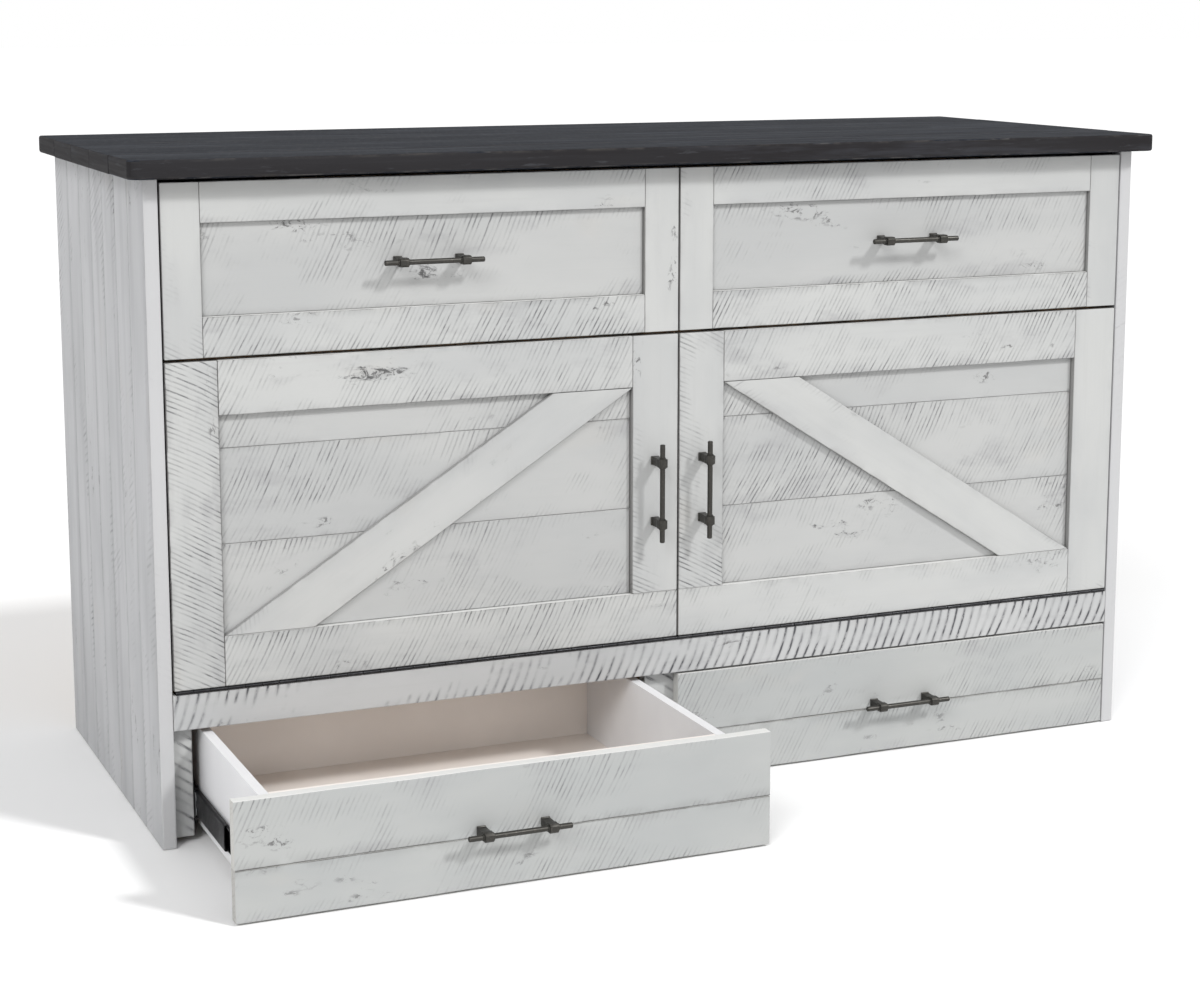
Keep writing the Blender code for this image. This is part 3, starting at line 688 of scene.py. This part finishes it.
def cabinet_sides():
    """The sides, as upright boards with V grooves between them."""
    first, width, least = 0.1075, 0.089, 0.06
    for side, sign in (("left", -1), ("right", 1)):
        node = f"{side}_side"
        x, y, z = limits(node)
        joints = [y[0], y[0] + first]
        while joints[-1] + width < y[1] - least:
            joints.append(joints[-1] + width)
        joints.append(y[1])
        boards = bmesh.new()
        for n, depth in enumerate(between(joints)):
            plank(boards, x, depth, z, "z", side, 51 + n * 1.7 + sign, ease=0.0026)
        finish_mesh(f"{side}_side_boards", boards, WHITE_SIDE, "cabinet", [node])


def single_board(node, name, grain, side, material, body, seed, **options):
    """One board in place of a CAD node that is a plain box."""
    boards = bmesh.new()
    x, y, z = limits(node)
    plank(boards, x, y, z, grain, side, seed, **options)
    finish_mesh(name, boards, material, body, [node])


def top_planks():
    """The lid: planks side by side, worn round at the outer edges and the front corners."""
    x, y, z = limits("top")
    count, corner = 5, 0.016
    width = (y[1] - y[0]) / count
    boards = bmesh.new()
    for n in range(count):
        v = (y[0] + n * width + FIT / 2, y[0] + (n + 1) * width - FIT / 2)
        outline = box_outline(x, v)
        if n == 0:
            outline = rounded(x, v[0], corner)[::-1] + [(x[1], v[1]), (x[0], v[1])]
        outer = n in (0, count - 1)
        prism(boards, outline, z, (X, Y, Z), Vector(), 71 + n * 2.1,
              ease=0.0045 if outer else 0.0014, segments=3, rough=0.0011 if n == 0 else 0.0003)
    finish_mesh("top_planks", boards, CHARCOAL, "lid", ["top"])


def rounded(u, v, radius, steps=6):
    """The corners at both ends of one edge, from its high end to its low end."""
    turns = [k * pi / 2 / steps for k in range(steps + 1)]
    high = [(u[1] - radius + radius * cos(a), v + radius - radius * sin(a)) for a in turns]
    low = [(u[0] + u[1] - a, b) for a, b in reversed(high)]
    return high + low


# ---- inside woodwork

def slat_frame(node, body, seed):
    """The platform's slats and their cross bar, read from the CAD node's own outline."""
    x, y, z = limits(node)
    corners = [p.co for p in frame["nodes"][node].data.vertices]
    bar_at_bottom = node == "fixed_slats"
    tips = z[1] if bar_at_bottom else z[0]
    edges = sorted({round(p.x, 4) for p in corners if abs(p.z - tips) < 1e-4})
    inner = sorted({round(p.z, 4) for p in corners})[1]
    bar = (z[0], inner - FIT) if bar_at_bottom else (inner + FIT, z[1])
    slats = (inner, z[1]) if bar_at_bottom else (z[0], inner)
    boards = bmesh.new()
    for n in range(0, len(edges), 2):
        plank(boards, (edges[n], edges[n + 1]), y, slats, "z", "front", seed + n, ease=0.002)
    plank(boards, x, y, bar, "x", "front", seed + 20, ease=0.002)
    finish_mesh(f"{node}_boards", boards, PINE, body, [node])
    screws = bmesh.new()
    for n in range(0, len(edges), 2):
        for across in (edges[n] + 0.025, edges[n + 1] - 0.025):
            screw_head(screws, Vector((across, y[1] - 0.0008, sum(bar) / 2)), Y, 0.0042)
    finish_mesh(f"{node}_screws", screws, BLACK_STEEL, body, slot="foot_leg_hinge", smooth=35)


def back_board():
    """A plywood back in three sheets, with a screw every so often."""
    x, y, z = limits("back_panel")
    boards = bmesh.new()
    third, inset = (x[1] - x[0]) / 3, 0.02
    for n, sheet_x in enumerate(between([x[0] + n * third for n in range(4)])):
        plank(boards, sheet_x, y, z, "x", "back", 91 + n * 3.1, ease=0.0010)
    finish_mesh("back_sheets", boards, PLY, "cabinet", ["back_panel"])
    screws = bmesh.new()
    for across in (x[0] + n * third + d for n in range(3) for d in (inset, third - inset)):
        for n in range(6):
            up = z[0] + 0.04 + n * (z[1] - z[0] - 0.16) / 5
            screw_head(screws, Vector((across, y[1] + 0.0001, up)), Y, 0.0038)
    finish_mesh("back_screws", screws, BLACK_STEEL, "cabinet", slot="lid_hinge_lower_leaf",
                smooth=35)


def ring_wall(shape, profile, sides):
    """A turned wall through pairs of radius and distance, closed below. Returns its last ring."""
    previous = None
    for radius, distance in profile:
        turns = [2 * pi * k / sides for k in range(sides)]
        ring = [shape.verts.new((radius * cos(a), radius * sin(a), distance)) for a in turns]
        if previous:
            for k in range(sides):
                after = (k + 1) % sides
                shape.faces.new((previous[k], previous[after], ring[after], ring[k]))
        else:
            shape.faces.new(list(reversed(ring)))
        previous = ring
    return previous


def screw_head(target, at, out, radius, sides=16):
    """A low domed head with a pointed recess, facing out."""
    dome = [(1.0, 0.0), (1.0, 0.25), (0.82, 0.62), (0.5, 0.85), (0.45, 0.85)]
    shape = bmesh.new()
    rim = ring_wall(shape, [(r * radius, h * radius * 0.42) for r, h in dome], sides)
    point = shape.verts.new((0, 0, radius * 0.12))
    for k in range(sides):
        shape.faces.new((rim[k], rim[(k + 1) % sides], point))
    join(target, shape, out.to_track_quat("Z", "Y").to_matrix(), at)


# ---- drawers

def drawer_box(side):
    """Four melamine walls and a floor, butted at the corners."""
    node, body = f"{side}_drawer_box", f"{side}_drawer"
    x, y, z = limits(node)
    wall = limits(f"{side}_drawer_bottom")[0][0] - x[0]
    inner_x = (x[0] + wall, x[1] - wall)
    walls = bmesh.new()
    plank(walls, (x[0], inner_x[0] - FIT), y, z, "y", "right", 101, ease=0.0007)
    plank(walls, (inner_x[1] + FIT, x[1]), y, z, "y", "right", 102, ease=0.0007)
    finish_mesh(f"{side}_drawer_walls", walls, MELAMINE, body, [node])
    ends = bmesh.new()
    plank(ends, inner_x, (y[0], y[0] + wall), z, "x", "front", 103, ease=0.0007)
    plank(ends, inner_x, (y[1] - wall, y[1]), z, "x", "front", 104, ease=0.0007)
    finish_mesh(f"{side}_drawer_ends", ends, LINING, body, slot=node)
    single_board(f"{side}_drawer_bottom", f"{side}_drawer_floor", "x", "top", LINING, body,
                 105, ease=0.0005)


def slide_member(node, body):
    """A rolled C section with rounded corners, in place of the plain channel."""
    x, y, z = limits(node)
    across = [p.co.x for p in frame["nodes"][node].data.vertices]
    at_low, at_high = (sum(abs(u - side) < 2e-4 for u in across) for side in x)
    inward = 1 if at_low < at_high else -1
    web, lip = x if inward > 0 else (x[1], x[0])
    sheet, radius, steps = 0.0013, 0.0028, 4
    section = [(lip, z[0], 0.0, -1.0)]
    for sign, corner in ((-1, z[0]), (1, z[1])):
        for k in range(steps + 1):
            angle = (steps - k if sign < 0 else k) * pi / 2 / steps
            section.append((web + inward * radius * (1 - cos(angle)),
                            corner - sign * radius * (1 - sin(angle)),
                            -inward * cos(angle), sign * sin(angle)))
    section.append((lip, z[1], 0.0, 1.0))
    shape = bmesh.new()
    rows = []
    for u, w, out_u, out_w in section:
        outer, inner = (u, w), (u - out_u * sheet, w - out_w * sheet)
        corners = ((outer, y[0]), (inner, y[0]), (inner, y[1]), (outer, y[1]))
        rows.append([shape.verts.new((p[0], depth, p[1])) for p, depth in corners])
    for a, b in zip(rows, rows[1:]):
        for k in range(4):
            shape.faces.new((a[k], a[(k + 1) % 4], b[(k + 1) % 4], b[k]))
    shape.faces.new(rows[0])
    shape.faces.new(list(reversed(rows[-1])))
    bmesh.ops.recalc_face_normals(shape, faces=shape.faces)
    finish_mesh(f"{node}_rolled", shape, BLACK_STEEL, body, [node], smooth=40)


def ball_cage(side, where):
    """The plated retainer between the fixed and middle members, with its balls in the races."""
    node = f"{side}_slide_{where}_middle"
    x, _, z = limits(node)
    wall_x, wall_y, _ = limits(f"{side}_slide_{where}_fixed")
    gap_below = x[0] - wall_x[0] > wall_x[1] - x[1]
    middle_web, fixed_web = (x[0], wall_x[0]) if gap_below else (x[1], wall_x[1])
    sheet, notch, radius = 0.0006, 0.0035, 0.0011
    centre = (middle_web + fixed_web) / 2 + (middle_web - fixed_web) * 0.18
    across = (centre - sheet / 2, centre + sheet / 2)
    front, back = wall_y[0] - 0.006, wall_y[0] + 0.085
    shape = bmesh.new()
    low, high = z[0] + 0.002, z[1] - 0.002
    outline = [(front + notch, low), (back, low), (back, high), (front + notch, high),
               (front, high - 0.004), (front, high - 0.011), (front + notch, high - 0.013),
               (front + notch, low + 0.013), (front, low + 0.011), (front, low + 0.004)]
    prism(shape, outline, across, (Y, Z, X), Vector(), 1.0, ease=0.00012, segments=1)
    for height in (z[0] - 0.0002, z[1] + 0.0002):
        for n in range(12):
            place = Matrix.Translation((centre, front + 0.010 + n * 0.006, height))
            bmesh.ops.create_icosphere(shape, subdivisions=2, radius=radius, matrix=place)
    finish_mesh(f"{side}_slide_{where}_cage", shape, ZINC, f"{side}_slide_middles",
                slot=node, smooth=40)


def drawers():
    """Both drawers, with two slides each."""
    for side in ("left", "right"):
        drawer_front(side)
        drawer_box(side)
        for where in ("outer", "inner"):
            slide_member(f"{side}_slide_{where}_fixed", "cabinet")
            slide_member(f"{side}_slide_{where}_middle", f"{side}_slide_middles")
            slide_member(f"{side}_slide_{where}_moving", f"{side}_drawer")
            ball_cage(side, where)


# ---- pulls and hinges

def turned(target, profile, start, along, sides=24):
    """A turned shape, from its radius at each distance along its axis."""
    shape = bmesh.new()
    shape.faces.new(ring_wall(shape, profile, sides))
    join(target, shape, along.to_track_quat("Z", "Y").to_matrix(), start)


def pull(side, which, body):
    """A bar through two square blocks on stems, with turned ends and collars."""
    node = f"{side}_{which}_pull"
    x, y, z = limits(node)
    upright = z[1] - z[0] > x[1] - x[0]
    along = Z if upright else X
    middle = Vector((sum(x) / 2, 0, sum(z) / 2))
    length = z[1] - z[0] if upright else x[1] - x[0]
    block, radius, ease, half_span = 0.0142, 0.0040, 0.0010, 0.048
    bar_y = y[0] + block / 2
    shape = bmesh.new()
    start = middle + Vector((0, bar_y, 0)) - along * (length / 2)
    ends = [(radius - ease, 0.0), (radius, ease), (radius, length - ease), (radius - ease, length)]
    turned(shape, ends, start, along)
    for sign in (-1, 1):
        post(shape, middle + along * (sign * half_span), bar_y, y[1], block, along)
    finish_mesh(f"{side}_{which}_bar_pull", shape, BRONZE, body, [node], smooth=35)


def post(target, centre, bar_y, face_y, block, along):
    """A square post with a heavier rounded head, and a collar on each side of the bar's hole."""
    across = Z if along == X else X
    depth = face_y - bar_y
    slim, head = block * 0.36, block * 0.47
    half = [(0.0, head), (0.0018, head * 1.02), (0.0028, slim), (depth - block * 0.7, slim),
            (depth - block * 0.42, head), (depth + block * 0.30, head),
            (depth + block / 2, head * 0.55)]
    outline = [(u, -v) for u, v in half] + half[::-1]
    start = Vector((centre.x, face_y, centre.z))
    prism(target, outline, (-head, head), (-Y, across, Y.cross(across)), start, 1.0, ease=0.0007)
    inner, outer, ring = 0.0047, 0.0053, 0.0011
    collar = [(inner, -ring - 0.0005), (outer, -ring), (outer, 0.0), (outer, block),
              (outer, block + ring), (inner, block + ring + 0.0005)]
    turned(target, collar, Vector((centre.x, bar_y, centre.z)) - along * (block / 2), along, 20)


def knuckles(name, node, axis, radius, odd, body, replaced=()):
    """Every other knuckle of a long hinge's barrel."""
    low, high = limits(node)[0]
    pitch, gap, ease = 0.0254, 0.0003, 0.0003
    count = int((high - low) / pitch)
    step = (high - low) / count
    wide = step - 2 * gap
    profile = [(radius - ease, 0.0), (radius, ease), (radius, wide - ease), (radius - ease, wide)]
    shape = bmesh.new()
    for n in range(odd, count, 2):
        turned(shape, profile, Vector((low + n * step + gap, *axis)), X, 14)
    finish_mesh(name, shape, BLACK_STEEL, body, replaced, slot=node, smooth=40)


def long_hinge(name, node, axis, radius, leaf, plate, body, odd, out, shift):
    """A leaf, with its knuckles round the axis and its screws moved by shift from its middle."""
    knuckles(name, node, axis, radius, odd, body, [node])
    x = limits(node)[0]
    sheet = bmesh.new()
    plank(sheet, x, *leaf, "x", plate, 111, ease=0.0002, segments=1)
    count, inset = 17, 0.03
    for n in range(count):
        across = x[0] + inset + n * (x[1] - x[0] - 2 * inset) / (count - 1)
        at = Vector((across, sum(leaf[0]) / 2, sum(leaf[1]) / 2)) + Vector(shift)
        screw_head(sheet, at, out, 0.0030, 12)
    finish_mesh(f"{name}_leaf", sheet, BLACK_STEEL, body, slot=node, smooth=30)


def hinges():
    """The long hinges of the front, the lid and the leg. Each leaf lies beside its barrel."""
    joints = {j["name"]: j for j in frame["joints"]}
    front, lid, leg = (joints[name]["pos_m"][1:]
                       for name in ("front_drop", "lid_lift", "foot_leg_turn"))
    _, y, z = limits("front_hinge_lower_leaf")
    leaf = ((front[0] + 0.0024, y[1]), (z[0], z[0] + 0.0012))
    long_hinge("front_hinge_lower", "front_hinge_lower_leaf", front, 0.0026, leaf, "top",
               "cabinet", 0, Z, (0, 0, 0.0005))
    _, y, z = limits("front_hinge_upper_leaf")
    leaf = ((front[0] + 0.0024, y[1]), (z[1] - 0.0012, z[1]))
    long_hinge("front_hinge_upper", "front_hinge_upper_leaf", front, 0.0026, leaf, "top",
               "front", 1, -Z, (0, 0, -0.0005))
    _, y, z = limits("lid_hinge_lower_leaf")
    leaf = ((y[0], y[0] + 0.0013), (z[0], lid[1] - 0.0012))
    long_hinge("lid_hinge_lower", "lid_hinge_lower_leaf", lid, 0.0025, leaf, "back",
               "cabinet", 0, Y, (0, 0.0006, -0.004))
    leaf = limits("lid_hinge_upper_leaf")[1:]
    long_hinge("lid_hinge_upper", "lid_hinge_upper_leaf", lid, 0.0025, leaf, "back",
               "lid", 1, Y, (0, 0.0006, 0))
    _, y, z = limits("foot_leg_hinge")
    knuckles("foot_leg_hinge_far_knuckles", "foot_leg_hinge", leg, 0.0022, 1, "foot_leg")
    leaf = ((leg[0] + 0.001, y[1]), (z[1] - 0.0011, z[1]))
    long_hinge("foot_leg_hinge_barrel", "foot_leg_hinge", leg, 0.0022, leaf, "top",
               "foot_platform", 0, Z, (0, 0, 0.0004))


# ---- mattress

def places(mesh):
    """Where a mesh's vertices are, one row each."""
    return np.array([p.co for p in mesh.vertices])


def move_to(mesh, rows):
    """Moves a mesh's vertices to other places."""
    mesh.vertices.foreach_set("co", rows.ravel())
    mesh.update()


def swollen(mesh, cap=0.0065):
    """A foam block as its cover pulls it tight: cloth under pressure, then held to a cap."""
    piece = new_object("swelling", mesh)
    remesh = piece.modifiers.new("even", "REMESH")
    remesh.mode = "VOXEL"
    remesh.voxel_size = 0.014
    bpy.context.view_layer.update()
    start = baked(piece)
    piece.modifiers.clear()
    piece.data = start
    before = places(start)
    cloth = piece.modifiers.new("cover", "CLOTH")
    cloth.settings.use_pressure = True
    cloth.settings.uniform_pressure_force = 4.0
    cloth.settings.effector_weights.gravity = 0.0
    cloth.settings.quality = 5
    cloth.settings.tension_stiffness = 25.0
    cloth.settings.compression_stiffness = 25.0
    last_frame = 20
    cloth.point_cache.frame_start = 1
    cloth.point_cache.frame_end = last_frame
    scene = bpy.context.scene
    for moment in range(1, last_frame + 1):
        scene.frame_set(moment)
    moved = places(baked(piece)) - before
    length = np.linalg.norm(moved, axis=1, keepdims=True)
    moved *= np.minimum(1.0, cap / np.maximum(length, 1e-9))
    move_to(start, before + moved)
    piece.modifiers.clear()
    scene.frame_set(1)
    piece.modifiers.new("finer", "SUBSURF").levels = 1
    finer = baked(piece)
    bpy.data.objects.remove(piece, do_unlink=True)
    return finer


def foam_block(low, high, rounded_by, cuts):
    """A block with rounded edges. cuts splits its faces when no cover swells it."""
    shape = bmesh.new()
    bmesh.ops.create_cube(shape, size=1.0)
    bmesh.ops.scale(shape, vec=high - low, verts=shape.verts)
    bmesh.ops.translate(shape, vec=(low + high) / 2, verts=shape.verts)
    bmesh.ops.bevel(shape, geom=list(shape.edges), offset=rounded_by, segments=4, profile=0.6,
                    affect="EDGES")
    if cuts:
        bmesh.ops.subdivide_edges(shape, edges=shape.edges, cuts=cuts, use_grid_fill=True)
    return as_mesh("foam", shape)


def mattress_section(node, body):
    """One section of the folding mattress, with quilted faces and piping round both edges."""
    name = f"{node}_section"
    low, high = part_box(node)
    inset = Vector((0.007, 0.007, 0.007))  # room for the cover to swell
    mesh = foam_block(low + inset, high - inset, 0.022, cuts=0)
    mesh = swollen(mesh)
    quilt(mesh, low, high)
    piece = finish_piece(name, mesh, TICKING, body, [node], smooth=50)
    piping(f"{name}_piping", low, high, body, node)


def quilt(mesh, low, high, pitch=0.127, depth=0.0065, width=0.011, margin=0.0006):
    """Sewn channels across both faces of a section, in squares.

    The section is held to its CAD box, so that it clears its neighbours.
    """
    rows = places(mesh)
    low, high = np.array(low), np.array(high)
    middle = (low + high) / 2
    pull_in = np.zeros(len(rows))
    for axis in (0, 2):
        off = (rows[:, axis] - middle[axis] + pitch / 2) % pitch - pitch / 2
        pull_in = np.maximum(pull_in, np.exp(-((off / width) ** 2)))
    outward = np.array([p.normal.y for p in mesh.vertices])
    face = np.clip((np.abs(outward) - 0.7) / 0.3, 0, 1)
    rows[:, 1] -= np.sign(outward) * pull_in * face * depth
    move_to(mesh, np.clip(rows, low + margin, high - margin))


def piping(name, low, high, body, node):
    """A sewn cord round each large face, just inside the section's edge."""
    curve = bpy.data.curves.new(name, "CURVE")
    curve.dimensions = "3D"
    curve.bevel_depth = 0.0028
    curve.bevel_resolution = 2
    inset, radius = 0.0085, 0.03
    for at in (low.y + inset, high.y - inset):
        points = []
        for right, up, start in ((1, 1, 0), (-1, 1, 90), (-1, -1, 180), (1, -1, 270)):
            x = (high.x if right > 0 else low.x) - right * (inset + radius)
            z = (high.z if up > 0 else low.z) - up * (inset + radius)
            for k in range(7):
                angle = radians(start + 15 * k)
                points.append((x + radius * cos(angle), at, z + radius * sin(angle), 1.0))
        spline = curve.splines.new("POLY")
        spline.points.add(len(points) - 1)
        for point, place in zip(spline.points, points):
            point.co = place
        spline.use_cyclic_u = True
    piece = new_object(name, curve)
    mesh = baked(piece)
    bpy.data.objects.remove(piece, do_unlink=True)
    finish_piece(name, mesh, PIPING, body, slot=node, smooth=60)


# ---- the whole object

def woodwork():
    """The boards that are plain boxes, and what lies behind the front."""
    single_board("lower_rail", "lower_rail_board", "x", "front", WHITE_RAIL, "cabinet", 3.7)
    for n, which in enumerate(("left", "right", "centre")):
        single_board(f"{which}_base_stile", f"{which}_base_board", "z", "front", WHITE_BASE,
                     "cabinet", 5.2 + n)
    for n, side in enumerate(("left", "right")):
        single_board(f"{side}_slide_cleat", f"{side}_cleat_board", "y", "right", PINE,
                     "cabinet", 8 + n)
    single_board("head_deck", "head_deck_board", "x", "top", PLY, "cabinet", 12.0)
    single_board("door_backing", "door_backing_sheet", "x", "back", PLY, "front", 14.0,
                 ease=0.0005)
    single_board("false_drawer_backing", "false_drawer_sheet", "x", "back", PLY, "foot_leg",
                 15.0, ease=0.0005)
    divider()
    slat_frame("fixed_slats", "front", 17.0)
    slat_frame("sliding_slats", "foot_platform", 47.0)
    back_board()


def divider():
    """The web between the drawer bays, with a cleat on each side of its foot."""
    x, y, z = limits("drawer_divider")
    web = 0.009  # half its thickness
    foot = (z[0], limits("left_slide_cleat")[2][1])
    boards = bmesh.new()
    plank(boards, (-web, web), y, z, "y", "right", 61.0)
    plank(boards, (x[0], -web - FIT), y, foot, "y", "right", 62.0)
    plank(boards, (web + FIT, x[1]), y, foot, "y", "right", 63.0)
    finish_mesh("divider_boards", boards, PINE, "cabinet", ["drawer_divider"])


cabinet_sides()
top_planks()
woodwork()
for which in ("left", "right"):
    door(which)
    false_drawer(which)
    pull(which, "door", "front")
    pull(which, "false_drawer", "foot_leg")
    pull(which, "drawer", f"{which}_drawer")
drawers()
hinges()
mattress_section("mattress_middle", "front")
mattress_section("mattress_foot", "foot_mattress")
mattress_section("mattress_head", "head_mattress")


# ---- studio

def studio():
    """A pale floor, an even surround and two soft suns."""
    shape = bmesh.new()
    bmesh.ops.create_grid(shape, x_segments=2, y_segments=2, size=60.0)
    mesh = as_mesh("studio_floor", shape)
    floor_look = Nodes("studio_floor", roughness=0.9)
    floor_look.colour((0.93, 0.93, 0.93, 1.0))
    mesh.materials.append(floor_look.material)
    floor = new_object("studio_floor", mesh)
    floor.location.z = -0.0002  # just under the feet
    bpy.context.scene.world = studio_world()
    bpy.context.scene.view_settings.view_transform = "Standard"
    lamp("key", (0.62, -0.78, 0.86), 7.0, 1.8)
    lamp("fill", (-0.66, -0.72, 0.72), 22.0, 1.2)


def studio_world():
    """An even pale surround, seen by the camera as plain white."""
    world = bpy.data.worlds.new("studio")
    world.use_nodes = True
    tree = world.node_tree
    link = tree.links.new
    surround = tree.nodes["Background"]
    surround.inputs["Color"].default_value = (1.0, 1.0, 1.0, 1.0)
    surround.inputs["Strength"].default_value = 0.62
    white = tree.nodes.new("ShaderNodeBackground")
    white.inputs["Color"].default_value = (1.0, 1.0, 1.0, 1.0)
    choice = tree.nodes.new("ShaderNodeMixShader")
    path = tree.nodes.new("ShaderNodeLightPath")
    link(path.outputs["Is Camera Ray"], choice.inputs[0])
    link(surround.outputs[0], choice.inputs[1])
    link(white.outputs[0], choice.inputs[2])
    link(choice.outputs[0], tree.nodes["World Output"].inputs["Surface"])
    return world


def lamp(name, towards, spread, power):
    """A distant light from a direction. spread is how soft it is, in degrees."""
    light = bpy.data.lights.new(name, "SUN")
    light.angle = radians(spread)
    light.energy = power
    holder = new_object(name, light)
    holder.location = Vector(towards) * 4
    holder.rotation_euler = (-Vector(towards)).to_track_quat("-Z", "Y").to_euler()


def camera():
    """The photo's camera, as fitted to the corners of the cabinet."""
    lens = bpy.data.cameras.new("camera")
    lens.lens = 72.34
    lens.sensor_width = 36.0
    lens.shift_y = -0.08
    tilt, turn = 9.5, 23.05
    holder = new_object("camera", lens)
    holder.location = (-1.554, FRONT_Y - 3.341, 1.223)
    holder.rotation_euler = (radians(90 - tilt), 0.0, radians(-turn))
    bpy.context.scene.camera = holder


studio()
camera()
